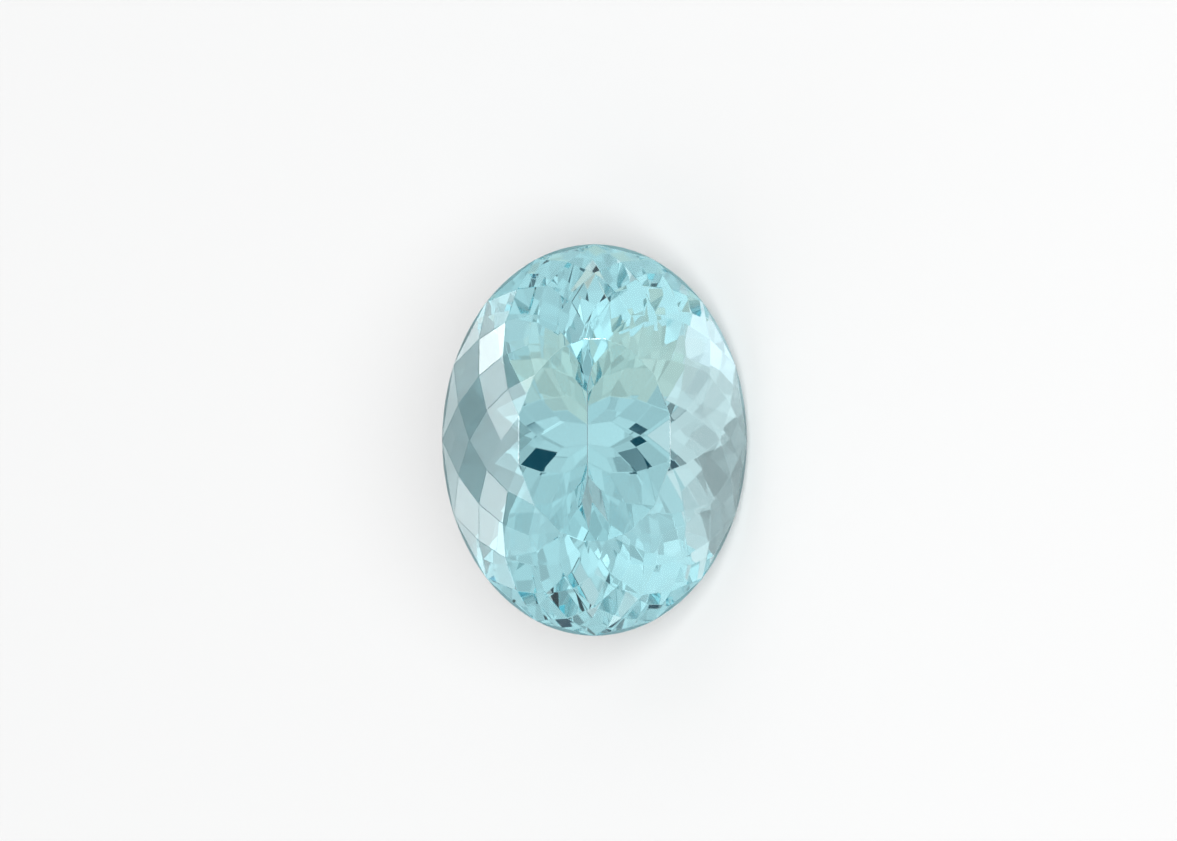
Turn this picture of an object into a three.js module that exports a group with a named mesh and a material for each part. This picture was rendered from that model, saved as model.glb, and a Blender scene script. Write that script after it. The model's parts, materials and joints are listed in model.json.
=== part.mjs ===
// Loose oval aquamarine gemstone with a chequer-like lattice of kite facets, lying on one of its lower facets.
// The stone is the space left inside a set of facet planes, as a cutter grinds one flat after another.
// Millimetres, +Z up. While it is cut, the table faces +Z, the long axis is Y and the girdle is at z = 0.
import * as THREE from 'three';

// Girdle: the oval rim
const WIDTH = 14;
const LENGTH = 18;
const GIRDLE_THICKNESS = 0.5;
const GIRDLE_SIDES = 96;

// Facets in each row, all the way round
const FOLD = 16;

// Crown, above the girdle: how far each ring of facet corners lies in from the rim
const CROWN_INSETS = [0, 0.63, 1.26, 1.96, 2.7];
const CROWN_END_INSET_RATIO = 1.06;
const CROWN_FIRST_RISE = 0.66;
const CROWN_HEIGHT = 1.95;

// Pavilion, below the girdle, ending in a keel that the cutter left a little off centre
const PAVILION_INSETS = [0, 1.6, 3.2, 4.6, 5.8];
const PAVILION_END_INSET_RATIO = 1;
const PAVILION_FIRST_DROP = 2.1;
const KEEL_OFFSET = new THREE.Vector2(-0.41, 0.3);

// The stone lies on the facet of this pavilion row that faces +X
const RESTING_ROW = 2;
const RESTING_FACET = 0;

// Corners that fall closer together than this are one corner
const MEET_TOLERANCE = 1e-4;

const HALF_WIDTH = WIDTH / 2;
const HALF_LENGTH = LENGTH / 2;
const HALF_GIRDLE = GIRDLE_THICKNESS / 2;
const STEP_ANGLE = (2 * Math.PI) / FOLD;
const TABLE_HEIGHT = HALF_GIRDLE + CROWN_HEIGHT;
const INSIDE = new THREE.Vector3(0, 0, 0);
const UP = new THREE.Vector3(0, 0, 1);
const DOWN = new THREE.Vector3(0, 0, -1);

// A facet plane through three points, facing out of the stone
function facetPlane(first, second, third) {
  const plane = new THREE.Plane().setFromCoplanarPoints(first, second, third);
  return plane.distanceToPoint(INSIDE) > 0 ? plane.negate() : plane;
}

// Height at which a plane passes over a point of the plan
function heightOn(plane, point) {
  return -(plane.constant + plane.normal.x * point.x + plane.normal.y * point.y) / plane.normal.z;
}

// One ring of facet corners in plan; a staggered ring is turned by half a step
function cornerRing(inset, endRatio, staggered, keelOffset) {
  const shift = inset / HALF_WIDTH;
  return Array.from({ length: FOLD }, (_, index) => {
    const angle = (index + (staggered ? 0.5 : 0)) * STEP_ANGLE;
    return new THREE.Vector3(
      (HALF_WIDTH - inset) * Math.cos(angle) + shift * keelOffset.x,
      (HALF_LENGTH - endRatio * inset) * Math.sin(angle) + shift * keelOffset.y,
      0,
    );
  });
}

// The two corners of the next ring in that lie either side of a corner
function neighbours(nextRing, index, staggered) {
  const before = staggered ? index : index - 1;
  return [nextRing.at(before), nextRing[(before + 1) % FOLD]];
}

// Rows of facets from the girdle inwards. The girdle row is triangles. In every row after it a kite runs from
// its outer corner through two side corners, and fixes the height of the corner where it meets the next kite.
function facetLattice({ insets, endRatio, rimHeight, firstHeight, startStaggered, keelOffset }) {
  const staggered = insets.map((_, ring) => (ring % 2 === 1) !== startStaggered);
  const rings = insets.map((inset, ring) => cornerRing(inset, endRatio, staggered[ring], keelOffset));
  rings[0].forEach((corner) => { corner.z = rimHeight; });
  rings[1].forEach((corner) => { corner.z = firstHeight; });

  const girdleRow = rings[1].map((apex, index) => {
    const [left, right] = neighbours(rings[0], index, staggered[1]);
    return facetPlane(left, right, apex);
  });
  const kiteRows = rings.slice(0, -1).map((ring, row) => ring.map((outer, index) => {
    const [left, right] = neighbours(rings[row + 1], index, staggered[row]);
    const plane = facetPlane(outer, left, right);
    const inner = rings[row + 2]?.[index];
    if (inner) inner.z = heightOn(plane, inner);
    return plane;
  }));
  return { rows: [girdleRow, ...kiteRows], rings, staggered };
}

// Flats all round the rim, which together read as one smooth oval band
function girdlePlanes() {
  const rimPoint = (index) => {
    const angle = (2 * Math.PI * index) / GIRDLE_SIDES;
    return new THREE.Vector3(HALF_WIDTH * Math.cos(angle), HALF_LENGTH * Math.sin(angle), 0);
  };
  return Array.from({ length: GIRDLE_SIDES }, (_, index) => {
    const start = rimPoint(index);
    return facetPlane(start, rimPoint(index + 1), start.clone().add(UP));
  });
}

// Corner of the table on the slope of a crown kite, straight in from the kite's outer corner
function tableCorner(plane, outer) {
  const slope = new THREE.Vector2(plane.normal.x, plane.normal.y);
  const excess = plane.distanceToPoint(new THREE.Vector3(outer.x, outer.y, TABLE_HEIGHT));
  const inward = slope.multiplyScalar(-excess / slope.lengthSq());
  return new THREE.Vector3(outer.x + inward.x, outer.y + inward.y, TABLE_HEIGHT);
}

// Crown: the girdle row, kites, a star row round the table, and the table
function crownPlanes() {
  const { rows, rings, staggered } = facetLattice({
    insets: CROWN_INSETS,
    endRatio: CROWN_END_INSET_RATIO,
    rimHeight: HALF_GIRDLE,
    firstHeight: HALF_GIRDLE + CROWN_FIRST_RISE,
    startStaggered: false,
    keelOffset: new THREE.Vector2(),
  });
  const tableCorners = rows.at(-1).map((plane, index) => tableCorner(plane, rings.at(-2)[index]));
  const stars = rings.at(-1).map((tip, index) => {
    const [left, right] = neighbours(tableCorners, index, staggered.at(-1));
    return facetPlane(tip, left, right);
  });
  const table = new THREE.Plane(UP, -TABLE_HEIGHT);
  return [...rows.flat(), ...stars, table];
}

// Pavilion: rows of kites, of which the last meet in the keel
function pavilionRows() {
  return facetLattice({
    insets: PAVILION_INSETS,
    endRatio: PAVILION_END_INSET_RATIO,
    rimHeight: -HALF_GIRDLE,
    firstHeight: -HALF_GIRDLE - PAVILION_FIRST_DROP,
    startStaggered: true,
    keelOffset: KEEL_OFFSET,
  }).rows;
}

// A square on a facet plane, larger than the whole stone, with its corners anticlockwise seen from outside
function squareOn(plane) {
  const reach = 2 * LENGTH;
  const turn = new THREE.Quaternion().setFromUnitVectors(UP, plane.normal);
  const centre = plane.coplanarPoint(new THREE.Vector3());
  return [[-1, -1], [1, -1], [1, 1], [-1, 1]].map(([across, along]) => (
    new THREE.Vector3(across * reach, along * reach, 0).applyQuaternion(turn).add(centre)
  ));
}

// The part of a convex polygon behind a plane
function clip(polygon, plane) {
  return polygon.flatMap((point, index) => {
    const next = polygon[(index + 1) % polygon.length];
    const here = plane.distanceToPoint(point);
    const there = plane.distanceToPoint(next);
    const kept = here <= 0 ? [point] : [];
    return here * there < 0 ? [...kept, point.clone().lerp(next, here / (here - there))] : kept;
  });
}

// A facet's outline, with corners that meet made one
function facetOutline(plane, planes) {
  const outline = planes.filter((other) => other !== plane).reduce(clip, squareOn(plane));
  return outline.filter((corner, index) => corner.distanceTo(outline.at(index - 1)) > MEET_TOLERANCE);
}

// The closed solid inside all the planes, each facet a fan of triangles
function solidInside(planes) {
  const triangles = planes.flatMap((plane) => {
    const outline = facetOutline(plane, planes);
    return outline.slice(2).flatMap((corner, index) => [outline[0], outline[index + 1], corner]);
  });
  const geometry = new THREE.BufferGeometry().setFromPoints(triangles);
  geometry.computeVertexNormals();
  return geometry;
}

const pavilion = pavilionRows();
const gemstone = new THREE.Mesh(
  solidInside([...girdlePlanes(), ...crownPlanes(), ...pavilion.flat()]),
  new THREE.MeshStandardMaterial({ color: 0x9fcbd0, roughness: 0.04, metalness: 0 }),
);
gemstone.name = 'gemstone';

// Lay the stone on its resting facet, with the origin under the middle of its outer box
const aquamarine = new THREE.Group();
aquamarine.add(gemstone);
aquamarine.quaternion.setFromUnitVectors(pavilion[RESTING_ROW][RESTING_FACET].normal, DOWN);
const box = new THREE.Box3().setFromObject(aquamarine, true);
const middle = box.getCenter(new THREE.Vector3());
aquamarine.position.set(-middle.x, -middle.y, -box.min.z);

export default aquamarine;
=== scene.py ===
"""Looks of a loose oval aquamarine gemstone that lies on a pale floor, seen straight down on its table."""
import json
import math

import bmesh
import bpy
from mathutils import Matrix, Vector


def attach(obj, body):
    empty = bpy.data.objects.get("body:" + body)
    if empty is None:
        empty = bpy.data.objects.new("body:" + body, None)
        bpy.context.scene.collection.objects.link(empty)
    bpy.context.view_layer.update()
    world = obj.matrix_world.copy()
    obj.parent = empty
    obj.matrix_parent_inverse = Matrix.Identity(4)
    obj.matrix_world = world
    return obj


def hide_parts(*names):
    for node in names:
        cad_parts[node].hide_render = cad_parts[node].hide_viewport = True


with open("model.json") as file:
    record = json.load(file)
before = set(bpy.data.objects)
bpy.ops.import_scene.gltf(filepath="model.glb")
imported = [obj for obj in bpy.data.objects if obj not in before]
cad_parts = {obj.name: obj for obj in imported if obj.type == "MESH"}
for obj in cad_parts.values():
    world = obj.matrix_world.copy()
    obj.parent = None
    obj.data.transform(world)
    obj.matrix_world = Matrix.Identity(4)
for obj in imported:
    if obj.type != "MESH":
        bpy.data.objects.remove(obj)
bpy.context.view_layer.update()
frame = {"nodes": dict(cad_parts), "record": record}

# Photograph: its size in pixels, the middle of the stone's outline, and the scale on the girdle
PHOTO_WIDTH = 1177
PHOTO_HEIGHT = 841
STONE_MIDDLE = (594.5, 440.0)
PIXELS_PER_METRE = 21750

# Height of the table over the middle of the girdle, in metres
TABLE_ABOVE_GIRDLE = 0.0022

gemstone = frame["nodes"]["gemstone"]
table = next(mount for mount in frame["record"]["mounts"] if mount["name"] == "table")
TABLE_NORMAL = Vector(table["axis"]).normalized()
LONG_AXIS = Vector((0, 1, 0))
PICTURE_RIGHT = LONG_AXIS.cross(TABLE_NORMAL).normalized()
PICTURE_UP = TABLE_NORMAL.cross(PICTURE_RIGHT)
GIRDLE_MIDDLE = Vector(table["pos_m"]) - TABLE_ABOVE_GIRDLE * TABLE_NORMAL


# Node helpers

def new_node(tree, kind, **settings):
    """A new node with its properties set by name."""
    node = tree.nodes.new(kind)
    for name, value in settings.items():
        setattr(node, name, value)
    return node


def math_node(tree, operation, first, second=None):
    """Output of a math node, whose inputs are sockets or numbers."""
    node = new_node(tree, "ShaderNodeMath", operation=operation)
    for socket, value in zip(node.inputs, (first, second)):
        if value is None:
            continue
        if isinstance(value, bpy.types.NodeSocket):
            tree.links.new(value, socket)
        else:
            socket.default_value = value
    return node.outputs[0]


def dot_product(tree, vector, direction):
    """Output of a dot product of a vector socket and a fixed direction."""
    node = new_node(tree, "ShaderNodeVectorMath", operation="DOT_PRODUCT")
    tree.links.new(vector, node.inputs[0])
    node.inputs[1].default_value = direction
    return node.outputs["Value"]


def fade(tree, value, low, high):
    """0 below low, 1 above high, and a soft step between."""
    node = new_node(tree, "ShaderNodeMapRange", interpolation_type="SMOOTHSTEP")
    tree.links.new(value, node.inputs["Value"])
    node.inputs["From Min"].default_value = low
    node.inputs["From Max"].default_value = high
    return node.outputs["Result"]


def mix_colours(tree, factor, first, second):
    """Colour between two sockets or colours."""
    node = new_node(tree, "ShaderNodeMix", data_type="RGBA")
    tree.links.new(factor, node.inputs["Factor"])
    for socket, value in zip((node.inputs["A"], node.inputs["B"]), (first, second)):
        if isinstance(value, bpy.types.NodeSocket):
            tree.links.new(value, socket)
        else:
            socket.default_value = (*value, 1)
    return node.outputs["Result"]


# Light: a quilted cloth tent with brighter and darker places, a floor lamp, and cards for the crown

TENT_COLOUR = (0.75, 0.76, 0.76)
TENT_BACKDROP = (0.9, 0.9, 0.9)
QUILT_DEPTH = 0.22
QUILT_GORES = 14
QUILT_RINGS = 16


def seen_from_table(tilt_deg, turn_deg):
    """World direction at a tilt from the table's normal, turned anticlockwise from the picture's right."""
    tilt = math.radians(tilt_deg)
    turn = math.radians(turn_deg)
    right = math.sin(tilt) * math.cos(turn)
    up = math.sin(tilt) * math.sin(turn)
    return right * PICTURE_RIGHT + up * PICTURE_UP + math.cos(tilt) * TABLE_NORMAL


class Patch:
    """A round, soft-edged place on the tent."""

    def __init__(self, tilt_deg, turn_deg, radius_deg, edge_deg, colour):
        self.direction = seen_from_table(tilt_deg, turn_deg)
        self.inner = math.cos(math.radians(radius_deg))
        self.outer = math.cos(math.radians(radius_deg + edge_deg))
        self.colour = colour


ROOF = (0.03, 0.04, 0.05)
DIM_WALL = (0.42, 0.43, 0.43)
BRIGHT_WALL = (1.06, 1.06, 1.1)
WARM_WALL = (0.87, 0.76, 0.68)
PALE = (1.0, 1.0, 1.0)
BRIGHT = (1.2, 1.2, 1.2)
DARK = (0.1, 0.15, 0.17)
DARKEST = (0.0, 0.05, 0.08)

# Later patches lie over earlier ones
TENT_PATCHES = [
    # Dark roof, which keeps the floor under the stone dim
    Patch(43, 168, 14, 5, ROOF),
    Patch(43, 202, 15, 5, ROOF),
    # Dim and bright walls behind the raised side
    Patch(114, 158, 27, 5, DIM_WALL),
    Patch(108, 228, 14, 12, BRIGHT_WALL),
    # Warm wall, seen in the upper third
    Patch(58, 284, 20, 10, WARM_WALL),
    # Pale and bright places, seen beside the table and along the keel
    Patch(53, 181, 3.5, 2.5, PALE),
    Patch(18, 178, 4, 3, PALE),
    Patch(45, 229, 6.5, 3, BRIGHT),
    Patch(41, 318, 4, 3, BRIGHT),
    Patch(46, 136, 4, 3, BRIGHT),
    Patch(12, 323, 1.2, 0.8, BRIGHT),
    # Dark places: spots at both ends, and a dark diamond each side of the keel
    Patch(26, 186, 1.5, 1, DARK),
    Patch(5, 2, 0.7, 0.4, DARK),
    Patch(6, 236, 2, 1.5, DARK),
    Patch(9, 331, 0.8, 0.6, DARK),
    Patch(16, 320, 1.2, 0.8, DARK),
    Patch(22, 80, 3.5, 6, DARKEST),
    Patch(0.35, 320, 0.8, 0.25, DARKEST),
]


def quilt(tree, direction):
    """Brightness of the tent's cloth, which rises and falls round the stone and away from its table."""
    tilt = math_node(tree, "ARCCOSINE", dot_product(tree, direction, TABLE_NORMAL))
    across = dot_product(tree, direction, PICTURE_RIGHT)
    turn = math_node(tree, "ARCTAN2", dot_product(tree, direction, PICTURE_UP), across)
    gores = math_node(tree, "COSINE", math_node(tree, "MULTIPLY", turn, QUILT_GORES))
    rings = math_node(tree, "COSINE", math_node(tree, "MULTIPLY", tilt, QUILT_RINGS))
    wave = math_node(tree, "MULTIPLY", gores, rings)
    return math_node(tree, "ADD", math_node(tree, "MULTIPLY", wave, QUILT_DEPTH), 1)


def make_tent():
    """The tent round the stone, which the camera itself sees as a plain backdrop."""
    world = bpy.data.worlds.new("light_tent")
    bpy.context.scene.world = world
    world.use_nodes = True
    tree = world.node_tree
    direction = new_node(tree, "ShaderNodeTexCoord").outputs["Generated"]
    tent = TENT_COLOUR
    for patch in TENT_PATCHES:
        inside = fade(tree, dot_product(tree, direction, patch.direction), patch.outer, patch.inner)
        tent = mix_colours(tree, inside, tent, patch.colour)
    quilted = new_node(tree, "ShaderNodeVectorMath", operation="SCALE")
    tree.links.new(tent, quilted.inputs["Vector"])
    tree.links.new(quilt(tree, direction), quilted.inputs["Scale"])
    in_view = new_node(tree, "ShaderNodeLightPath").outputs["Is Camera Ray"]
    seen = mix_colours(tree, in_view, quilted.outputs["Vector"], TENT_BACKDROP)
    tree.links.new(seen, tree.nodes["Background"].inputs["Color"])


LAMP_DISTANCE = 2.0


class Lamp:
    """A round soft box, of one brightness all over, that faces the stone."""

    def __init__(self, name, tilt_deg, turn_deg, radius_deg, radiance):
        self.name = name
        self.toward = seen_from_table(tilt_deg, turn_deg)
        self.radius = LAMP_DISTANCE * math.tan(math.radians(radius_deg))
        area = math.pi * self.radius ** 2
        self.watts = math.pi * radiance * area


FLOOR_LAMP = Lamp("floor_lamp", 0, 0, 18, 10.5)
CARDS = [
    # Worn edge of the table
    Lamp("upper_edge_card", 13.4, 90, 2, 18),
    Lamp("left_edge_card", 14.3, 180, 2, 12),
    Lamp("right_edge_card", 14.3, 0, 2, 5),
    # Beside the table
    Lamp("star_card", 33, 182, 11, 3.4),
    Lamp("upper_star_card", 36, 171, 4, 3.4),
    Lamp("upper_table_card", 28, 157, 4, 4),
    Lamp("lower_star_card", 34, 209, 4, 0.1),
    # Kites half way down the crown
    Lamp("middle_kite_card", 47, 180, 3, 2.4),
    Lamp("upper_kite_card", 46, 162, 4, 6),
    Lamp("lower_kite_card", 46, 198, 4, 7),
    Lamp("upper_glint_card", 60, 153, 4, 12),
    Lamp("upper_dim_card", 62, 171, 4, 0.1),
    Lamp("lower_dim_card", 62, 189, 4, 0.4),
    Lamp("lower_glint_card", 60, 207, 4, 7.5),
    # Kites near the girdle
    Lamp("upper_wall_card", 81, 143, 9, 3.4),
    Lamp("upper_middle_wall_card", 82, 162, 5, 2.2),
    Lamp("middle_wall_card", 83, 180, 6, 1.5),
    Lamp("lower_middle_wall_card", 82, 198, 5, 6.4),
    Lamp("lower_wall_card", 81, 217, 9, 2.6),
    # Girdle row
    Lamp("upper_low_card", 107, 153, 7, 5),
    Lamp("upper_middle_low_card", 107, 171, 8, 3.4),
    Lamp("lower_middle_low_card", 107, 189, 8, 3),
    Lamp("lower_low_card", 107, 207, 7, 3.4),
]


def hang(lamp):
    """A soft box that neither the camera nor the inside of the stone sees."""
    light = bpy.data.lights.new(lamp.name, "AREA")
    light.shape = "DISK"
    light.size = 2 * lamp.radius
    light.energy = lamp.watts
    soft_box = bpy.data.objects.new(lamp.name, light)
    soft_box.location = GIRDLE_MIDDLE + LAMP_DISTANCE * lamp.toward
    soft_box.rotation_euler = lamp.toward.to_track_quat("Z", "Y").to_euler()
    soft_box.visible_camera = False
    soft_box.visible_transmission = False
    bpy.context.scene.collection.objects.link(soft_box)
    return soft_box


def make_lamps():
    """A lamp that only whitens the floor, and cards that only shine on the outside of the stone."""
    hang(FLOOR_LAMP).visible_glossy = False
    for card in CARDS:
        hang(card).visible_diffuse = False


# Floor

FLOOR_SIZE = 4.0
FLOOR_COLOUR = (0.72, 0.72, 0.72)
FLOOR_GLOSS = 0.0
AIR_GAP = 0.00002


def floor_material():
    material = bpy.data.materials.new("pale_floor")
    material.use_nodes = True
    shader = material.node_tree.nodes["Principled BSDF"]
    shader.inputs["Base Color"].default_value = (*FLOOR_COLOUR, 1)
    shader.inputs["Specular IOR Level"].default_value = FLOOR_GLOSS
    return material


def make_floor():
    half = FLOOR_SIZE / 2
    plan = [(-half, -half), (half, -half), (half, half), (-half, half)]
    corners = [(x, y, -AIR_GAP) for x, y in plan]
    mesh = bpy.data.meshes.new("floor")
    mesh.from_pydata(corners, [], [(0, 1, 2, 3)])
    mesh.materials.append(floor_material())
    floor = bpy.data.objects.new("floor", mesh)
    bpy.context.scene.collection.objects.link(floor)


# Stone with worn facet edges: every facet edge of the solid, but not the upright lines of the girdle's
# band, is cut back to a narrow flat

MILLIMETRES_PER_METRE = 1000
WELD_MM = 0.0001
CUT_TOLERANCE_MM = 0.00001
SHORTEST_EDGE_MM = 0.0005
FLAT_ANGLE = math.radians(0.2)
SHARP_ANGLE = math.radians(2)
EDGE_WIDTH_MM = 0.035
UPRIGHT = 0.99


def is_facet_edge(edge):
    """Whether an edge parts two facets, and isn't one of the upright lines of the girdle's band."""
    along = (edge.verts[1].co - edge.verts[0].co).normalized()
    return edge.calc_face_angle() > SHARP_ANGLE and abs(along.dot(TABLE_NORMAL)) < UPRIGHT


def worn_flat(edge):
    """Point and outward normal of the flat that an edge is worn to."""
    first, second = (face.normal for face in edge.link_faces)
    angle = first.angle(second)
    depth = EDGE_WIDTH_MM / 2 * math.tan(angle / 2)
    normal = (first + second).normalized()
    return edge.verts[0].co - depth * normal, normal


def cut_flat(stone, point, normal):
    """Cuts the closed stone by a plane, and closes it again with one face."""
    everything = [*stone.verts, *stone.edges, *stone.faces]
    bmesh.ops.bisect_plane(
        stone, geom=everything, dist=CUT_TOLERANCE_MM, plane_co=point, plane_no=normal, clear_outer=True)
    bmesh.ops.edgeloop_fill(stone, edges=[edge for edge in stone.edges if edge.is_boundary])


def worn_mesh():
    """Copy of the solid with all its facet edges worn, cut at the scale of millimetres."""
    stone = bmesh.new()
    stone.from_mesh(gemstone.data)
    stone.transform(Matrix.Scale(MILLIMETRES_PER_METRE, 4))
    bmesh.ops.remove_doubles(stone, verts=stone.verts, dist=WELD_MM)
    bmesh.ops.dissolve_limit(stone, angle_limit=FLAT_ANGLE, verts=stone.verts, edges=stone.edges)
    stone.normal_update()
    for point, normal in [worn_flat(edge) for edge in stone.edges if is_facet_edge(edge)]:
        cut_flat(stone, point, normal)
    bmesh.ops.dissolve_degenerate(stone, dist=SHORTEST_EDGE_MM, edges=stone.edges)
    stone.transform(Matrix.Scale(1 / MILLIMETRES_PER_METRE, 4))
    mesh = bpy.data.meshes.new("aquamarine_stone")
    stone.to_mesh(mesh)
    stone.free()
    return mesh


# Aquamarine: polished facets that are a little scuffed, a rough ground girdle whose darker tint is painted
# shade for the dark rim, and one dark speck near the rim

BERYL_IOR = 1.577
ABSORPTION_COLOUR = (0.1, 0.79, 0.875)
ABSORPTION_PER_METRE = 40
CLEAR = (1.0, 1.0, 1.0)

POLISHED_ROUGHNESS = 0.0
SCUFFED_ROUGHNESS = 0.03
SCUFFS_PER_METRE = 900
SCUFF_DETAIL = 4

# Ground girdle: its roughness is real; its darker tint is painted shade that draws the dark outline round
# the stone
GIRDLE_PAINTED_SHADE = (0.36, 0.48, 0.5)
GROUND_ROUGHNESS = 0.45
GROUND_FROM = 0.00023
GROUND_TO = 0.00027
GROUND_RAGGED = 0.00004
CHIPS_PER_METRE = 4000
CHIP_DETAIL = 3

SPECK_RIGHT = -0.0037
SPECK_UP = -0.0074
SPECK_RADIUS = 0.00008
SPECK_COLOUR = (0.0, 0.01, 0.01)


def noise(tree, place, per_metre, detail):
    """Noise from 0 to 1, with about so many lumps to the metre."""
    node = new_node(tree, "ShaderNodeTexNoise")
    tree.links.new(place, node.inputs["Vector"])
    node.inputs["Scale"].default_value = per_metre
    node.inputs["Detail"].default_value = detail
    return node.outputs["Fac"]


def above_girdle(tree, place):
    """Height over the girdle's middle, along the table's normal."""
    height = dot_product(tree, place, TABLE_NORMAL)
    return math_node(tree, "SUBTRACT", height, GIRDLE_MIDDLE.dot(TABLE_NORMAL))


def ground_girdle(tree, place):
    """1 on the girdle's band and its ragged edges, 0 on the facets."""
    height = math_node(tree, "ABSOLUTE", above_girdle(tree, place))
    ragged = math_node(tree, "MULTIPLY", noise(tree, place, CHIPS_PER_METRE, CHIP_DETAIL), GROUND_RAGGED)
    reach = math_node(tree, "ADD", height, ragged)
    return math_node(tree, "SUBTRACT", 1, fade(tree, reach, GROUND_FROM, GROUND_TO))


def dark_speck(tree, place):
    """1 on a small round place of the crown, 0 elsewhere."""
    middle = GIRDLE_MIDDLE + SPECK_RIGHT * PICTURE_RIGHT + SPECK_UP * PICTURE_UP
    squares = []
    for axis in (PICTURE_RIGHT, PICTURE_UP):
        offset = math_node(tree, "SUBTRACT", dot_product(tree, place, axis), middle.dot(axis))
        squares.append(math_node(tree, "MULTIPLY", offset, offset))
    distance = math_node(tree, "SQRT", math_node(tree, "ADD", *squares))
    near = math_node(tree, "LESS_THAN", distance, SPECK_RADIUS)
    on_crown = math_node(tree, "GREATER_THAN", above_girdle(tree, place), 0)
    return math_node(tree, "MULTIPLY", near, on_crown)


def polish(tree, place, ground):
    """Roughness of the facets, scuffed here and there, and of the ground girdle."""
    scuffs = new_node(tree, "ShaderNodeMapRange")
    tree.links.new(noise(tree, place, SCUFFS_PER_METRE, SCUFF_DETAIL), scuffs.inputs["Value"])
    scuffs.inputs["To Min"].default_value = POLISHED_ROUGHNESS
    scuffs.inputs["To Max"].default_value = SCUFFED_ROUGHNESS
    mixed = new_node(tree, "ShaderNodeMix")
    tree.links.new(ground, mixed.inputs["Factor"])
    tree.links.new(scuffs.outputs["Result"], mixed.inputs["A"])
    mixed.inputs["B"].default_value = GROUND_ROUGHNESS
    return mixed.outputs["Result"]


def aquamarine_material():
    material = bpy.data.materials.new("aquamarine")
    material.use_nodes = True
    tree = material.node_tree
    place = new_node(tree, "ShaderNodeTexCoord").outputs["Object"]
    ground = ground_girdle(tree, place)
    # Painted shade: the ground band is tinted darker, which draws the dark outline at the rim
    colour = mix_colours(tree, ground, CLEAR, GIRDLE_PAINTED_SHADE)
    colour = mix_colours(tree, dark_speck(tree, place), colour, SPECK_COLOUR)
    shader = tree.nodes["Principled BSDF"]
    tree.links.new(colour, shader.inputs["Base Color"])
    tree.links.new(polish(tree, place, ground), shader.inputs["Roughness"])
    shader.inputs["IOR"].default_value = BERYL_IOR
    shader.inputs["Transmission Weight"].default_value = 1
    absorption = new_node(tree, "ShaderNodeVolumeAbsorption")
    absorption.inputs["Color"].default_value = (*ABSORPTION_COLOUR, 1)
    absorption.inputs["Density"].default_value = ABSORPTION_PER_METRE
    tree.links.new(absorption.outputs[0], tree.nodes["Material Output"].inputs["Volume"])
    return material


def make_stone():
    stone = bpy.data.objects.new("aquamarine_stone", worn_mesh())
    stone.data.materials.append(aquamarine_material())
    bpy.context.scene.collection.objects.link(stone)
    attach(stone, "root")
    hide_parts("gemstone")


# Camera: its distance in metres, and its sensor in millimetres

CAMERA_DISTANCE = 0.4
SENSOR_WIDTH = 36.0


def make_camera():
    """A camera straight above the table, with the photograph's scale and framing."""
    camera = bpy.data.cameras.new("camera")
    camera.sensor_width = SENSOR_WIDTH
    camera.lens = SENSOR_WIDTH * CAMERA_DISTANCE * PIXELS_PER_METRE / PHOTO_WIDTH
    to_right = (PHOTO_WIDTH / 2 - STONE_MIDDLE[0]) / PIXELS_PER_METRE
    upward = (STONE_MIDDLE[1] - PHOTO_HEIGHT / 2) / PIXELS_PER_METRE
    aim = GIRDLE_MIDDLE + to_right * PICTURE_RIGHT + upward * PICTURE_UP
    turn = Matrix((PICTURE_RIGHT, PICTURE_UP, TABLE_NORMAL)).transposed().to_4x4()
    viewer = bpy.data.objects.new("camera", camera)
    viewer.matrix_world = Matrix.Translation(aim + CAMERA_DISTANCE * TABLE_NORMAL) @ turn
    bpy.context.scene.collection.objects.link(viewer)
    bpy.context.scene.camera = viewer


# Light paths: a cut stone turns light back many times before it leaves

BOUNCES = 32


def set_light_paths():
    scene = bpy.context.scene
    scene.view_settings.view_transform = "Standard"
    cycles = scene.cycles
    cycles.max_bounces = BOUNCES
    cycles.glossy_bounces = BOUNCES
    cycles.transmission_bounces = BOUNCES
    cycles.caustics_reflective = True
    cycles.caustics_refractive = True


make_camera()
make_tent()
make_lamps()
make_floor()
make_stone()
set_light_paths()
